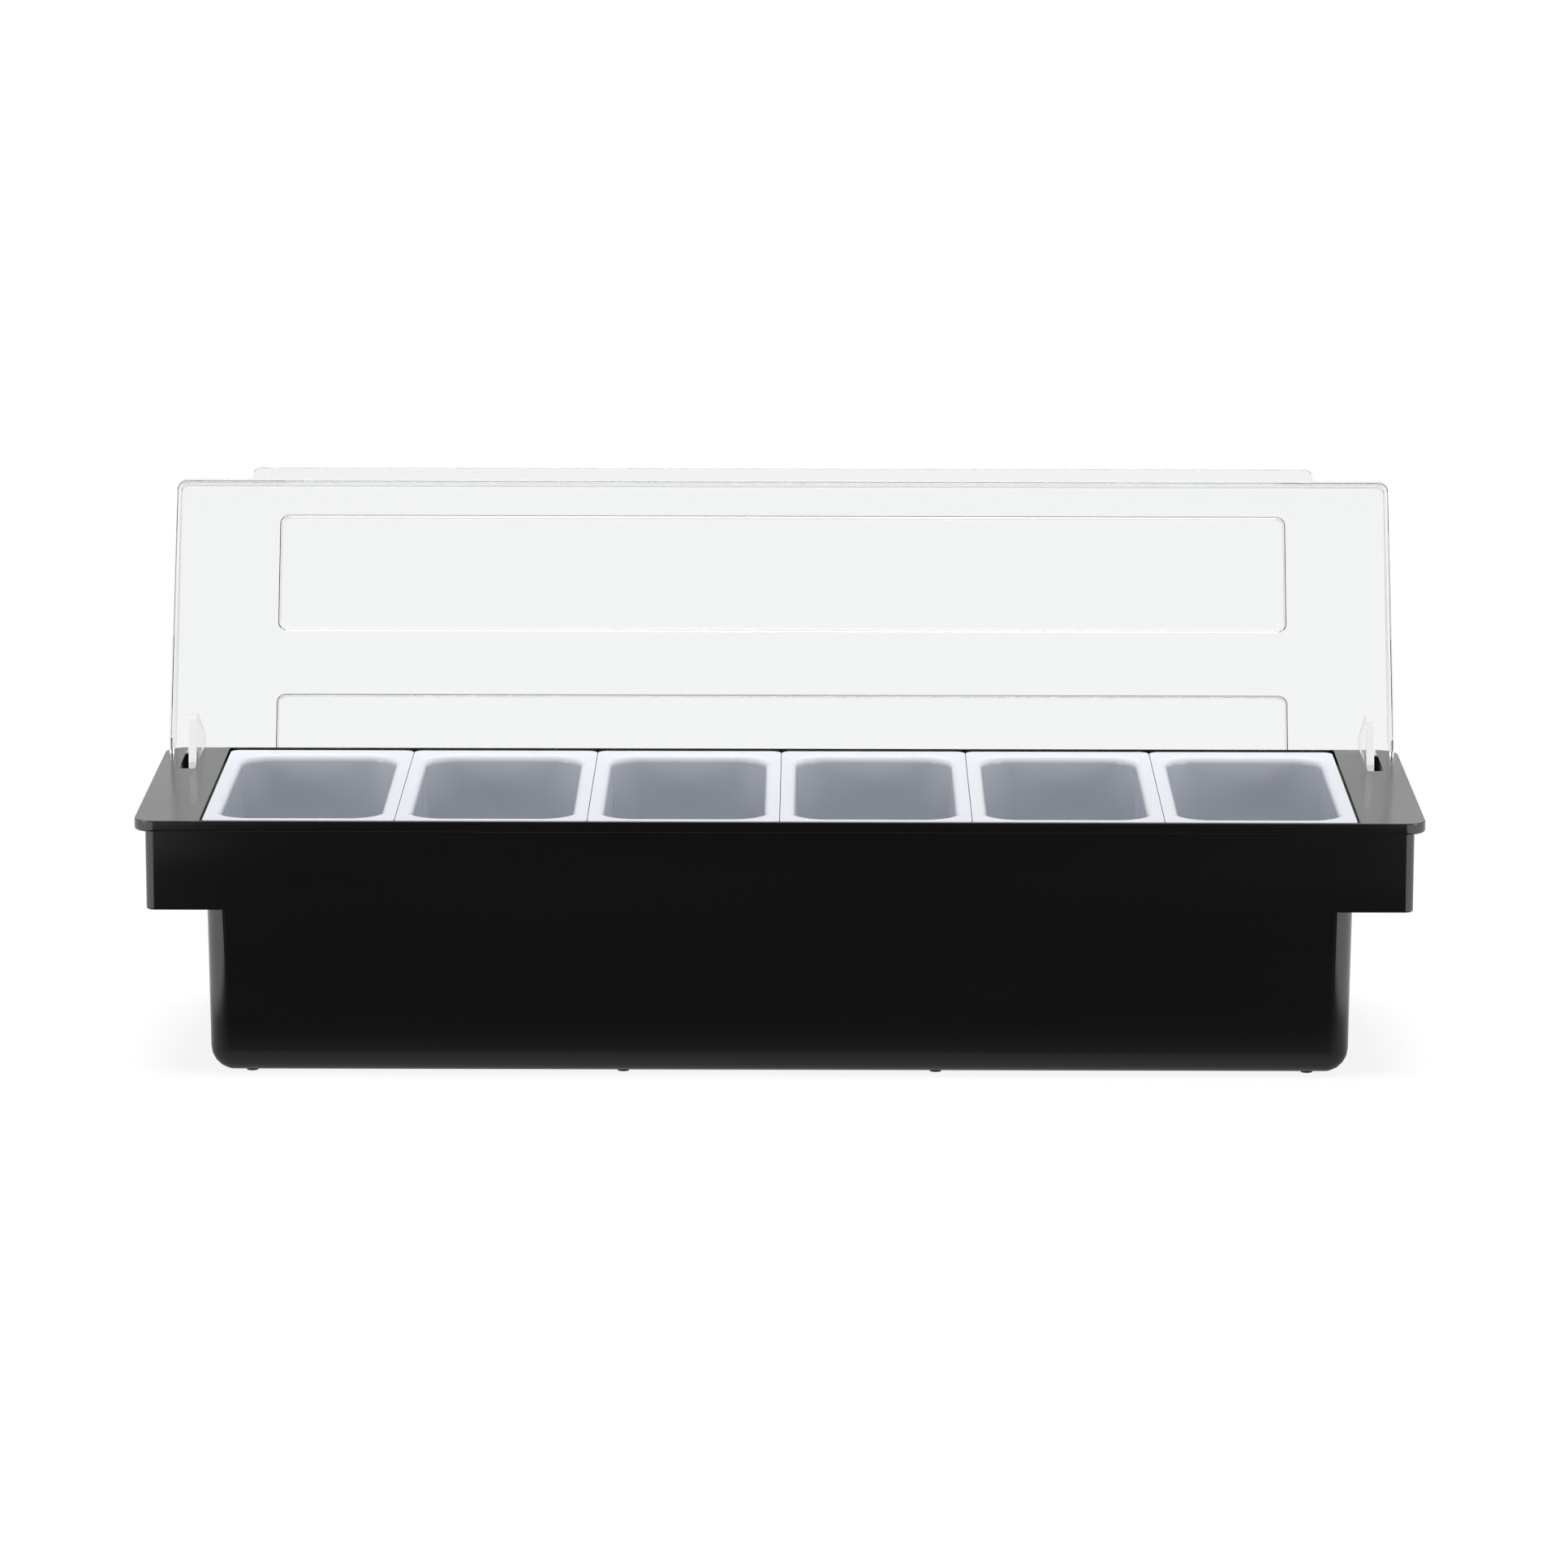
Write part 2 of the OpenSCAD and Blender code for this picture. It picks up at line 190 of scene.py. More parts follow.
class CaddyLidSizes(bpy.types.PropertyGroup):
    """Sizes of the clear lid, as it lies closed."""

    wall: length("Wall", "Wall thickness of the lid", 1.8)
    inset_y: length("Edge inset", "How far the lid's front and back stay inside the flange", 1.4)
    gap: length("Skirt gap", "Gap between the closed lid's skirt and the flange", 0.3)
    front_height: length("Front height", "Inner height of the closed lid at the front", 3.8)
    back_height: length("Back height", "Inner height of the closed lid at the back", 17.6)
    corner: length("Corner", "Radius of the lid's corners", 4)
    edge: length("Edge", "Radius round the lid's roof", 0.4)
    rim_edge: length("Rim edge", "Radius of the skirt's lower edges", 0.25)
    hollow_edge: length("Hollow edge", "Radius inside, between the walls and the roof", 0.5)
    relief_clearance: length("Relief", "Clearance that the end walls keep to the flange's back edge", 0.75)
    stop_gap: length("Stop gap", "Gap left at the open stop", 0.3)
    panel_inset: length("Panel inset", "Distance of the raised panels from the flange's ends", 43.2)
    panel_depth: length("Panel depth", "Depth of a raised panel", 49.2)
    panel_border: length("Panel border", "Distance of the front panel from the lid's front wall", 12.1)
    panel_space: length("Panel space", "Distance between the panels", 26.6)
    panel_corner: length("Panel corner", "Corner radius of a panel", 3.8)
    panel_rise: length("Panel rise", "How far a panel is raised", 0.9)
    tab_inset: length("Tab inset", "Distance of the tab's ends from the flange's ends", 31.8)
    tab_depth: length("Tab depth", "How far the finger tab stands out", 5)
    tab_corner: length("Tab corner", "Corner radius of the finger tab", 3.4)
    tab_edge: length("Tab edge", "Radius round the finger tab's faces", 0.3)


class CaddyColours(bpy.types.PropertyGroup):
    """Colours of the plastics, as sRGB hex."""

    tub: colour("Tub", "Colour of the black moulding", "#0b0b0d")
    insert: colour("Inserts", "Colour of the white inserts", "#d3d6dd")
    lid: colour("Lid", "Tint of the clear lid", "#f5f6f6")


class CaddyStageSettings(bpy.types.PropertyGroup):
    """The camera that the photograph was taken with, as far as its outline tells, and the studio."""

    lens: number("Lens", "Focal length on a 36 mm sensor, in mm", 162.2)
    camera_x: metres("Camera X", "Camera's place", 0.0143)
    camera_y: metres("Camera Y", "Camera's place", -2.747)
    camera_z: metres("Camera Z", "Camera's place", 0.6501)
    pitch: angle("Pitch", "Angle that the camera looks down by", 11.28)
    yaw: angle("Yaw", "Turn to the left", 0.27)
    roll: angle("Roll", "Tilt of the camera", 0.08)
    box_power: number("Softboxes", "Power of each of the two softboxes, in W", 6)
    box_size: length("Softbox size", "Side of a softbox", 600)
    box_x: length("Softbox X", "How far to the side a softbox stands", 1250)
    box_y: length("Softbox Y", "How far to the front a softbox stands", 750)
    box_z: length("Softbox height", "Height of a softbox's middle", 320)
    top_power: number("Top light", "Strength of the light above", 3.5)
    top_angle: angle("Top light angle", "Angle that it spreads over", 25)
    room_bright: number("Room light", "Light that the room gives", 0.12)
    ceiling: number("Ceiling", "Brightness of the ceiling through the lid", 0.5)
    dark_wall: number("Dark wall", "Brightness behind the camera in gloss", 0.1)
    floor_albedo: number("Floor albedo", "How much light the floor throws back", 0.15)
    floor_lift: number("Floor lift", "Light the floor sends to the camera", 0.87)
    floor_size: metres("Floor size", "Side of the floor", 24)
    card_bright: number("Card", "Brightness of the black card in gloss", 0.05)
    card_side: length("Card side", "How far the card runs past the flange, and its soft edge there", 40)
    card_reach: length("Card reach", "How far back the card runs from the flange's front", 165)
    card_soft: length("Card edge", "Width of the card's soft back edge", 240)


# ---- materials ----

EVEN = (1.0, 1.0, 1.0)
# Most of a noise lies between these values.
NOISE_RANGE = (0.3, 0.7)
PATCH_DETAIL = 3.0


def hex_colour(text):
    """An sRGB hex colour as linear RGBA."""
    parts = [int(text[i : i + 2], 16) / 255 for i in (1, 3, 5)]
    return [p / 12.92 if p <= 0.04045 else ((p + 0.055) / 1.055) ** 2.4 for p in parts] + [1.0]


def add_node(tree, kind, inputs=None, **settings):
    """Adds a node with its settings, and with a value or a link for each named or numbered input."""
    node = tree.nodes.new(kind)
    for name, value in settings.items():
        setattr(node, name, value)
    for key, value in (inputs or {}).items():
        if isinstance(value, bpy.types.NodeSocket):
            tree.links.new(value, node.inputs[key])
        else:
            node.inputs[key].default_value = value
    return node


def new_material(name):
    """An empty node material and its tree."""
    material = bpy.data.materials.new(name)
    material.use_nodes = True
    material.node_tree.nodes.clear()
    return material, material.node_tree


def calc(tree, operation, first, second=0.0):
    """The result of one step of arithmetic on values or links."""
    return add_node(tree, "ShaderNodeMath", {0: first, 1: second}, operation=operation).outputs[0]


def noise(tree, size, detail, stretch):
    """Noise fixed to the object, with features of about this size in millimetres."""
    place = add_node(tree, "ShaderNodeTexCoord").outputs["Object"]
    place = add_node(tree, "ShaderNodeMapping", {"Vector": place, "Scale": stretch}).outputs["Vector"]
    values = {"Vector": place, "Scale": 1 / (size * MM), "Detail": detail}
    return add_node(tree, "ShaderNodeTexNoise", values).outputs["Fac"]


def relief(tree, size, depth, strength, detail):
    """A bump with features of about this size and depth, in millimetres."""
    height = noise(tree, size, detail, EVEN)
    values = {"Strength": strength, "Distance": depth * MM, "Height": height}
    return add_node(tree, "ShaderNodeBump", values).outputs["Normal"]


def patches(tree, size, low, high, stretch=EVEN):
    """A roughness that wanders from low to high over patches of about this size in millimetres."""
    spread = noise(tree, size, PATCH_DETAIL, stretch)
    bottom, top = NOISE_RANGE
    values = {"Value": spread, "From Min": bottom, "From Max": top, "To Min": low, "To Max": high}
    return add_node(tree, "ShaderNodeMapRange", values).outputs["Result"]


def plastic(tree, text, roughness, normal, ior, more):
    """A plastic's surface. ior is its index of refraction, and more holds what only this plastic has."""
    values = {"Base Color": hex_colour(text), "Roughness": roughness, "Normal": normal, "IOR": ior}
    return add_node(tree, "ShaderNodeBsdfPrincipled", {**values, **more}).outputs["BSDF"]


def moulded_black_abs(text):
    """ABS, injection moulded in a lightly blasted tool: near black and half glossy, with a very fine grain
    that softens reflections, and faint flow marks that change the gloss slowly over a few centimetres."""
    material, tree = new_material("Moulded_black_ABS")
    # The real grain is about 0.05 mm and can't show at this distance, so it is drawn ten times as coarse.
    grain = relief(tree, size=0.5, depth=0.02, strength=0.12, detail=2.0)
    flow = patches(tree, size=60, low=0.12, high=0.19, stretch=(0.35, 1.0, 1.6))
    surface = plastic(tree, text, flow, grain, ior=1.54, more={"Specular IOR Level": 1.0})
    add_node(tree, "ShaderNodeOutputMaterial", {"Surface": surface})
    return material


def moulded_white_polypropylene(text):
    """Polypropylene, injection moulded: a cool off-white with a smooth, waxy sheen and a barely mottled skin
    that changes the gloss a little every couple of centimetres."""
    material, tree = new_material("Moulded_white_polypropylene")
    # Sink marks and orange peel a few millimetres across, a few thousandths of a millimetre deep.
    peel = relief(tree, size=3, depth=0.03, strength=0.1, detail=1.0)
    mottle = patches(tree, size=18, low=0.1, high=0.15)
    surface = plastic(tree, text, mottle, peel, ior=1.49, more={})
    add_node(tree, "ShaderNodeOutputMaterial", {"Surface": surface})
    return material


def polished_clear_san(text):
    """SAN, injection moulded in a polished tool: water clear over its thin walls, and greyer along the
    edges, where light runs a long way inside it. Lamps shine through it, so it casts almost no shadow."""
    material, tree = new_material("Polished_clear_SAN")
    # Flow waves a few centimetres long and a thousandth of a millimetre deep bend what shows through.
    wave = relief(tree, size=25, depth=0.02, strength=0.05, detail=1.0)
    # Handling leaves faint hazy patches.
    haze = patches(tree, size=40, low=0.01, high=0.04)
    skin = plastic(tree, text, haze, wave, ior=1.57, more={"Transmission Weight": 1.0})
    shadow_tint, inner_tint = hex_colour("#f2f4f4"), hex_colour("#cfcecb")
    clear = add_node(tree, "ShaderNodeBsdfTransparent", {"Color": shadow_tint}).outputs["BSDF"]
    shadow = add_node(tree, "ShaderNodeLightPath").outputs["Is Shadow Ray"]
    surface = add_node(tree, "ShaderNodeMixShader", {0: shadow, 1: skin, 2: clear}).outputs["Shader"]
    inside = add_node(tree, "ShaderNodeVolumeAbsorption", {"Color": inner_tint, "Density": 5.0})
    add_node(tree, "ShaderNodeOutputMaterial", {"Surface": surface, "Volume": inside.outputs["Volume"]})
    return material


# ---- making solids from rings ----


def ring(rect, radii, z, inset=0.0):
    """Points round a rectangle (x0, y0, x1, y1) with rounded corners, shrunk by inset. radii gives the
    corners' radii in turn from (x0, y0). z is a height, or a function of a point's x and y."""
    x0, y0, x1, y1 = rect[0] + inset, rect[1] + inset, rect[2] - inset, rect[3] - inset
    corners = [(x0, y0, 1, 1, 180), (x1, y0, -1, 1, 270), (x1, y1, -1, -1, 0), (x0, y1, 1, -1, 90)]
    points = []
    for (x, y, to_x, to_y, start), radius in zip(corners, radii, strict=True):
        r = max(radius, POINT_RADIUS)
        for step in range(CORNER_STEPS + 1):
            turn = math.radians(start + 90 * step / CORNER_STEPS)
            px = x + to_x * r + r * math.cos(turn)
            py = y + to_y * r + r * math.sin(turn)
            points.append(Vector((px, py, z(px, py) if callable(z) else z)))
    return points


def four(front, back=None):
    """Corner radii for a ring: the front pair and the back pair."""
    back = front if back is None else back
    return (front, front, back, back)


def less(radii, amount):
    """Corner radii made smaller by an amount."""
    return tuple(max(radius - amount, POINT_RADIUS) for radius in radii)


def quarter():
    """Cosine and sine at even steps over a quarter turn."""
    turns = [math.pi / 2 * step / ROUND_STEPS for step in range(ROUND_STEPS + 1)]
    return [(math.cos(turn), math.sin(turn)) for turn in turns]


def add_object(name, data):
    """A new object in the scene."""
    made = bpy.data.objects.new(name, data)
    bpy.context.scene.collection.objects.link(made)
    return made


def loft(name, rings, place=None):
    """A closed solid whose skin runs through the rings in turn, with a flat face at each end."""
    shape = bmesh.new()
    loops = [[shape.verts.new(point) for point in points] for points in rings]
    for low, high in zip(loops, loops[1:], strict=False):
        for i, vertex in enumerate(low):
            j = (i + 1) % len(low)
            shape.faces.new((vertex, low[j], high[j], high[i]))
    shape.faces.new(reversed(loops[0]))
    shape.faces.new(loops[-1])
    bmesh.ops.remove_doubles(shape, verts=shape.verts, dist=POINT_RADIUS / 2)
    bmesh.ops.recalc_face_normals(shape, faces=shape.faces)
    if place is not None:
        bmesh.ops.transform(shape, matrix=place, verts=shape.verts)
    mesh = bpy.data.meshes.new(name)
    shape.to_mesh(mesh)
    shape.free()
    return add_object(name, mesh)


def lower_edge(rect, radii, low, edge):
    """Rings round a plate's lower edge of this radius, from its flat face outwards and up."""
    if not edge:
        return [ring(rect, radii, low)]
    steps = [(edge * (1 - sin), low + edge * (1 - cos)) for cos, sin in quarter()]
    return [ring(rect, less(radii, inset), z, inset) for inset, z in steps]


def upper_edge(rect, radii, high, edge):
    """Rings round a plate's upper edge of this radius, up and inwards to its flat face."""
    if not edge:
        return [ring(rect, radii, high)]
    steps = [(edge * (1 - cos), high - edge * (1 - sin)) for cos, sin in quarter()]
    return [ring(rect, less(radii, inset), z, inset) for inset, z in steps]


def slab(name, rect, radii, low, high, edge_low=0.0, edge_high=0.0, place=None):
    """A plate with rounded corners, and rounded edges round its lower and upper faces."""
    rings = lower_edge(rect, radii, low, edge_low) + upper_edge(rect, radii, high, edge_high)
    return loft(name, rings, place)


def bar(name, low, high):
    """A plain block between two corners, used for cutting."""
    return slab(name, (low[0], low[1], high[0], high[1]), four(0), low[2], high[2])


def both_sides(near, far):
    """The ranges of x between two distances from the middle, on the left and on the right."""
    return [sorted((side * near, side * far)) for side in (-1, 1)]


def disc(name, radius, x0, x1, centre):
    """A round rod along X through centre."""
    turn = Matrix.Translation((0, centre.y, centre.z)) @ Matrix.Rotation(math.pi / 2, 4, "Y")
    return slab(name, (-radius, -radius, radius, radius), four(radius), x0, x1, place=turn)


def pan_rings(rect, corner, bottom, draft, low, high):
    """Rings from the flat bottom of a pan, round its bottom edge and up to its top."""
    rings = []
    for cos, sin in quarter():
        rings.append(ring(rect, four(bottom * sin), low + bottom * (1 - cos), draft + bottom * (1 - sin)))
    rings.append(ring(rect, four(corner), high))
    return rings


def grown(rect, amount):
    """A rectangle made larger by an amount on each side."""
    return (rect[0] - amount, rect[1] - amount, rect[2] + amount, rect[3] + amount)


def work_out(target):
    """Replaces an object's mesh by what its modifiers make of it."""
    graph = bpy.context.evaluated_depsgraph_get()
    target.data = bpy.data.meshes.new_from_object(target.evaluated_get(graph))
    target.modifiers.clear()


def combine(target, tools, operation):
    """Joins the tools to the target, or cuts them out of it, and removes them."""
    for tool in tools:
        step = target.modifiers.new("combine", "BOOLEAN")
        step.operation = operation
        step.solver = "MANIFOLD"
        step.object = tool
    work_out(target)
    for tool in tools:
        bpy.data.objects.remove(tool)


def polish(target):
    """Smooth shading that keeps flat faces flat and crisp edges crisp."""
    target.data.polygons.foreach_set("use_smooth", [True] * len(target.data.polygons))
    target.data.set_sharp_from_angle(angle=SHARP_ANGLE)
    flat = target.modifiers.new("flat faces", "WEIGHTED_NORMAL")
    flat.keep_sharp = True
    work_out(target)


def finish_piece(piece, name, body, material, nodes):
    """Names a piece, gives it its plastic, and lets it ride on its body and stand for its CAD nodes."""
    piece.name = name
    piece.data.name = name
    piece.data.materials.clear()
    piece.data.materials.append(material)
    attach(piece, body)
    if nodes:
        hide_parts(*nodes)


# ---- the black moulding ----


def tub_rect(sizes):
    """The tub's outline at the flange."""
    half = HALF_LENGTH - sizes.tub_inset
    return (-half, FRONT + sizes.front_overhang, half, BACK - sizes.back_overhang)


def make_end_boxes(sizes, under):
    """The open-bottomed boxes under the flange's ends, as one ring of wall round the tub. Their front
    follows the tub's draft, so that both fronts run into each other."""
    tub = tub_rect(sizes)
    half, low = HALF_LENGTH - sizes.ear_overhang, TOP - sizes.ear_height
    lean = sizes.tub_draft * (under - low) / (under - BASE_LOW.z - sizes.foot_height - sizes.tub_bottom)

    def rect(y_shift):
        return (-half, tub[1] + sizes.ear_step + y_shift, half, tub[3])

    radii, inner = four(sizes.ear_corner), less(four(sizes.ear_corner), sizes.wall / 2)
    rings = lower_edge(rect(lean), radii, low, sizes.ear_edge)
    rings.append(ring(rect(0), radii, under + OVERSHOOT))
    boxes = loft("end boxes", rings)
    hollow = (ring(rect(lean), inner, low - OVERSHOOT, sizes.wall), ring(rect(0), inner, under, sizes.wall))
    combine(boxes, [loft("inside", hollow)], "DIFFERENCE")
    return boxes


def make_lugs(hinge, under):
    """The two lugs that hold the lid's pegs."""
    lugs = []
    slot_face = HALF_LENGTH - hinge.slot_inset
    for x0, x1 in both_sides(slot_face, slot_face - hinge.lug_thickness):
        lug = disc("lug", hinge.lug_radius, x0, x1, PIVOT)
        neck_low = (x0, PIVOT.y - hinge.lug_radius, PIVOT.z)
        neck = bar("neck", neck_low, (x1, PIVOT.y + hinge.lug_radius, under + POINT_RADIUS))
        bore = disc("bore", hinge.peg_radius + hinge.peg_clearance, x0 - OVERSHOOT, x1 + OVERSHOOT, PIVOT)
        combine(lug, [neck], "UNION")
        combine(lug, [bore], "DIFFERENCE")
        lugs.append(lug)
    return lugs


def make_slots(sizes, hinge, under):
    """Cutters for the slots in the flange, and for the notches in the back wall that the arms swing through.
    Beside its notch the wall stays whole, so the slot looks black from the front."""
    tub = tub_rect(sizes)
    wall_front, wall_back = tub[3] - sizes.wall, tub[3]
    low, high = under - OVERSHOOT, TOP + OVERSHOOT
    slot_face = HALF_LENGTH - hinge.slot_inset
    slots = both_sides(slot_face, slot_face + hinge.slot_width)
    notches = both_sides(slot_face, slot_face + hinge.notch_width)
    cutters = []
    for (x0, x1), (n0, n1) in zip(slots, notches, strict=True):
        cutters.append(bar("slot", (x0, BACK - hinge.slot_length, low), (x1, wall_front, high)))
        cutters.append(bar("slot behind the wall", (x0, wall_back, low), (x1, BACK + OVERSHOOT, high)))
        notch_low = (n0, wall_front - OVERSHOOT, TOP - hinge.notch_height)
        cutters.append(bar("notch", notch_low, (n1, wall_back + OVERSHOOT, high)))
    return cutters


def make_step(sizes, insert):
    """Cutters for the step that the inserts' lips rest on, flared so that the step's upper edge is
    rounded, and for a groove at each end of it, which makes a dark line beside the row."""
    half, ledge = HALF_LENGTH - sizes.row_inset, TOP - insert.lip_thickness
    rect = (-half, FRONT + sizes.front_rim, half, BACK - sizes.back_strip)
    radii, edge = four(sizes.step_round), sizes.step_round
    rings = [ring(rect, radii, ledge)]
    for cos, sin in quarter():
        rings.append(ring(rect, radii, TOP - edge * (1 - sin), -edge * (1 - cos)))
    rings.append(ring(rect, radii, TOP + OVERSHOOT, -edge))
    cutters = [loft("step", rings)]
    for x0, x1 in both_sides(half, half - sizes.groove_width):
        groove_low = (x0, rect[1], ledge - sizes.groove_depth)
        cutters.append(bar("groove", groove_low, (x1, rect[3], ledge + OVERSHOOT)))
    return cutters


class CADDY_OT_base(bpy.types.Operator):
    """Makes the black moulding: flange, tub, end boxes, slots and lugs"""

    bl_idname = "caddy.make_base"
    bl_label = "Make the tub"

    def execute(self, context):
        """Builds the solid from rounded plates and pans."""
        scene = context.scene
        sizes, hinge, insert = scene.caddy_base, scene.caddy_hinge, scene.caddy_insert
        under = TOP - sizes.flange_thickness
        tub = tub_rect(sizes)
        rect, radii = (-HALF_LENGTH, FRONT, HALF_LENGTH, BACK), four(sizes.front_corner, sizes.back_corner)
        edges = {"edge_low": sizes.flange_under, "edge_high": sizes.flange_round}
        flange = slab("flange", rect, radii, under, TOP, **edges)
        low = BASE_LOW.z + sizes.foot_height
        outer = pan_rings(tub, sizes.tub_corner, sizes.tub_bottom, sizes.tub_draft, low, under + OVERSHOOT)
        corner, bottom = sizes.tub_corner - sizes.wall / 2, sizes.tub_bottom - sizes.wall / 2
        rect, low = grown(tub, -sizes.wall), low + sizes.wall
        inner = pan_rings(rect, corner, bottom, sizes.tub_draft, low, TOP + OVERSHOOT)
        combine(flange, [make_end_boxes(sizes, under), loft("tub", outer)], "UNION")
        cutters = [loft("hollow", inner), *make_step(sizes, insert), *make_slots(sizes, hinge, under)]
        combine(flange, cutters, "DIFFERENCE")
        combine(flange, make_lugs(hinge, under), "UNION")
        polish(flange)
        material = moulded_black_abs(scene.caddy_colours.tub)
        finish_piece(flange, "tub_moulding", "base", material, ["base"])
        return {"FINISHED"}


# ---- what repeats: feet and inserts, by Geometry Nodes ----

SMALL_FOOT_SIDES = 32
PAD_SIDES = 64


def node_group(name, inputs):
    """A geometry node group with a geometry output, and with inputs given as a kind for each name."""
    group = bpy.data.node_groups.new(name, "GeometryNodeTree")
    group.interface.new_socket("Geometry", in_out="OUTPUT", socket_type="NodeSocketGeometry")
    for label, kind in inputs.items():
        group.interface.new_socket(label, in_out="INPUT", socket_type=f"NodeSocket{kind}")
    return group, group.nodes.new("NodeGroupInput").outputs


def run_group(target, group, values):
    """Puts a node group on an object, sets its inputs by name, and works the result out into the mesh."""
    step = target.modifiers.new(group.name, "NODES")
    step.node_group = group
    for item in group.interface.items_tree:
        if item.item_type == "SOCKET" and item.in_out == "INPUT" and item.name in values:
            step[item.identifier] = values[item.name]
    work_out(target)


def finish_group(group, geometry, material):
    """Ends a group in Realize Instances and Set Material."""
    real = add_node(group, "GeometryNodeRealizeInstances", {"Geometry": geometry}).outputs["Geometry"]
    dressed = add_node(group, "GeometryNodeSetMaterial", {"Geometry": real, "Material": material})
    add_node(group, "NodeGroupOutput", {"Geometry": dressed.outputs["Geometry"]})


def round_foot(group, diameter, height, sides):
    """The mesh of a round foot."""
    radius = calc(group, "MULTIPLY", diameter, 0.5)
    values = {"Vertices": sides, "Radius": radius, "Depth": height}
    return add_node(group, "GeometryNodeMeshCylinder", values).outputs["Mesh"]


def moved(group, geometry, y, z):
    """Geometry moved back and up."""
    shift = add_node(group, "ShaderNodeCombineXYZ", {"Y": y, "Z": z}).outputs["Vector"]
    values = {"Geometry": geometry, "Translation": shift}
    return add_node(group, "GeometryNodeTransform", values).outputs["Geometry"]


def feet_group():
    """Feet in mirrored pairs at two distances from the middle, in two rows, and a wide one in the middle."""
    sizes = ("Outer", "Inner", "Front", "Back", "Diameter", "Middle diameter", "Height")
    group, given = node_group("Feet", {**dict.fromkeys(sizes, "Float"), "Material": "Material"})
    depth = calc(group, "SUBTRACT", given["Back"], given["Front"])
    total = calc(group, "ADD", given["Back"], given["Front"])
    middle = calc(group, "MULTIPLY", total, 0.5)
    lift = calc(group, "MULTIPLY", given["Height"], 0.5)
    corners = add_node(group, "GeometryNodeJoinGeometry")
    for name in ("Outer", "Inner"):
        width = calc(group, "MULTIPLY", given[name], 2.0)
        values = {"Size X": width, "Size Y": depth, "Vertices X": 2, "Vertices Y": 2}
        grid = add_node(group, "GeometryNodeMeshGrid", values)
        group.links.new(grid.outputs["Mesh"], corners.inputs["Geometry"])
    spots = moved(group, corners.outputs["Geometry"], middle, lift)
    foot = round_foot(group, given["Diameter"], given["Height"], SMALL_FOOT_SIDES)
    feet = add_node(group, "GeometryNodeInstanceOnPoints", {"Points": spots, "Instance": foot})
    pad = round_foot(group, given["Middle diameter"], given["Height"], PAD_SIDES)
    everything = add_node(group, "GeometryNodeJoinGeometry", {"Geometry": feet.outputs["Instances"]})
    group.links.new(moved(group, pad, 0.0, lift), everything.inputs["Geometry"])
    finish_group(group, everything.outputs["Geometry"], given["Material"])
    return group


class CADDY_OT_feet(bpy.types.Operator):
    """Makes the small moulded feet under the tub"""

    bl_idname = "caddy.make_feet"
    bl_label = "Make the feet"

    def execute(self, context):
        """Runs the feet group and lets the feet ride with the tub."""
        sizes = context.scene.caddy_base
        tub = tub_rect(sizes)
        edge = sizes.tub_draft + sizes.tub_bottom + sizes.foot_diameter / 3
        material = bpy.data.materials["Moulded_black_ABS"]
        feet = add_object("feet", bpy.data.meshes.new("feet"))
        values = {
            "Outer": HALF_LENGTH - sizes.foot_inset,
            "Inner": sizes.foot_inner,
            "Front": tub[1] + edge,
            "Back": tub[3] - edge,
            "Diameter": sizes.foot_diameter,
            "Middle diameter": sizes.centre_foot,
            "Height": sizes.foot_height + sizes.wall / 2,
            "Material": material,
        }
        run_group(feet, feet_group(), values)
        polish(feet)
        finish_piece(feet, "feet", "base", material, [])
        return {"FINISHED"}


def insert_rings(sizes):
    """Rings from an insert's outer bottom, up and round its lip, and down inside to its inner bottom."""
    low, z_lip = FIRST_LOW.z, TOP - sizes.lip_thickness
    half_lip = (PITCH - sizes.seam) / 2
    lip = (-half_lip, FIRST_LOW.y, half_lip, FIRST_HIGH.y)
    lip_radii = four(sizes.lip_front_corner, sizes.lip_back_corner)
    half_mouth = PITCH / 2 - sizes.mouth_side
    mouth = (-half_mouth, FRONT + sizes.mouth_front, half_mouth, BACK - sizes.mouth_back)
    inner_bottom = sizes.mouth_corner - sizes.wall / 2
    body = grown(mouth, sizes.wall)
    fillet, edge = sizes.lip_fillet, sizes.lip_edge

    rings = pan_rings(body, sizes.mouth_corner, sizes.mouth_corner, sizes.draft, low, z_lip - fillet)
    for cos, sin in quarter()[1:]:
        spread = fillet * (1 - cos)
        z = z_lip - fillet * (1 - sin)
        rings.append(ring(grown(body, spread), four(sizes.mouth_corner + spread), z))
    rings += lower_edge(lip, lip_radii, z_lip, edge) + upper_edge(lip, lip_radii, TOP, edge)
    for cos, sin in quarter():
        spread = sizes.roll * (1 - sin)
        rings.append(ring(grown(mouth, spread), four(inner_bottom + spread), TOP - sizes.roll * (1 - cos)))
    inside = pan_rings(mouth, inner_bottom, inner_bottom, sizes.draft, low + sizes.wall, TOP)[:-1]
    return rings + inside[::-1]


def row_group():
    """Sets one insert's shape at its own place in the row, counted from the left."""
    kinds = {"Insert": "Geometry", "Number": "Int", "Count": "Int", "Pitch": "Float"}
    group, given = node_group("Row of inserts", {**kinds, "Material": "Material"})
    steps = calc(group, "SUBTRACT", given["Count"], 1.0)
    row = calc(group, "MULTIPLY", steps, given["Pitch"])
    start = calc(group, "MULTIPLY", row, -0.5)
    along = calc(group, "MULTIPLY", given["Number"], given["Pitch"])
    x = calc(group, "ADD", start, along)
    shift = add_node(group, "ShaderNodeCombineXYZ", {"X": x}).outputs["Vector"]
    spot = add_node(group, "GeometryNodePoints", {"Count": 1, "Position": shift}).outputs[0]
    values = {"Points": spot, "Instance": given["Insert"]}
    placed = add_node(group, "GeometryNodeInstanceOnPoints", values)
    finish_group(group, placed.outputs["Instances"], given["Material"])
    return group


